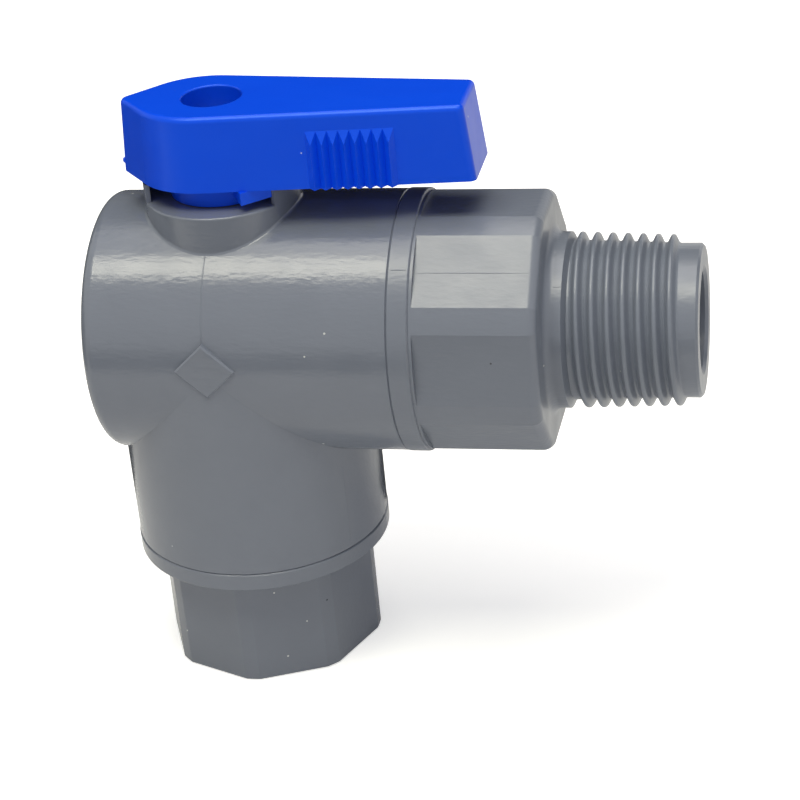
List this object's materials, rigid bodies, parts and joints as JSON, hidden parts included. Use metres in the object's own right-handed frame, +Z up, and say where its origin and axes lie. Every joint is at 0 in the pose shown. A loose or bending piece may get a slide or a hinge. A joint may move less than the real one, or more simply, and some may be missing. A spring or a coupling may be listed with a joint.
{
  "type": "right-angle ball valve",
  "caption": "Compact right-angle plastic ball valve with a threaded male inlet, a threaded female outlet below and a quarter-turn lever on top.",
  "frame": {"origin": "centre of the outlet's mouth, in the plane of its end face", "axes": "+Z up along the stem's and the outlet's common axis, +X along the barrel towards the inlet, +Y to the back as the picture sees it"},
  "size_m": [0.0733, 0.0322, 0.0737],
  "materials": {
    "body_pvc": "semi-gloss moulded grey PVC",
    "ball_pvc": "machined smooth grey PVC",
    "seat_ptfe": "white PTFE, waxy",
    "seal_rubber": "black nitrile rubber",
    "lever_blue": "semi-gloss moulded blue ABS",
    "screw_steel": "plain stainless steel"
  },
  "bodies": {
    "valve": {"valve_body": "body_pvc", "inlet_connector": "body_pvc", "outlet_connector": "body_pvc", "inlet_seat": "seat_ptfe", "outlet_seat": "seat_ptfe", "rear_seat": "seat_ptfe", "thrust_washer": "seat_ptfe", "inlet_seat_cushion": "seal_rubber", "outlet_seat_cushion": "seal_rubber", "inlet_body_ring": "seal_rubber", "outlet_body_ring": "seal_rubber"},
    "lever": {"handle": "lever_blue", "stem": "ball_pvc", "ball": "ball_pvc", "handle_screw": "screw_steel", "screw_washer": "screw_steel", "stem_ring_lower": "seal_rubber", "stem_ring_upper": "seal_rubber"}
  },
  "joints": [
    {"name": "lever_turn", "type": "hinge", "parent": "valve", "child": "lever", "pos_m": [0, 0, 0.0444], "axis": [0, 0, 1], "range_deg": [-90, 0]}
  ]
}
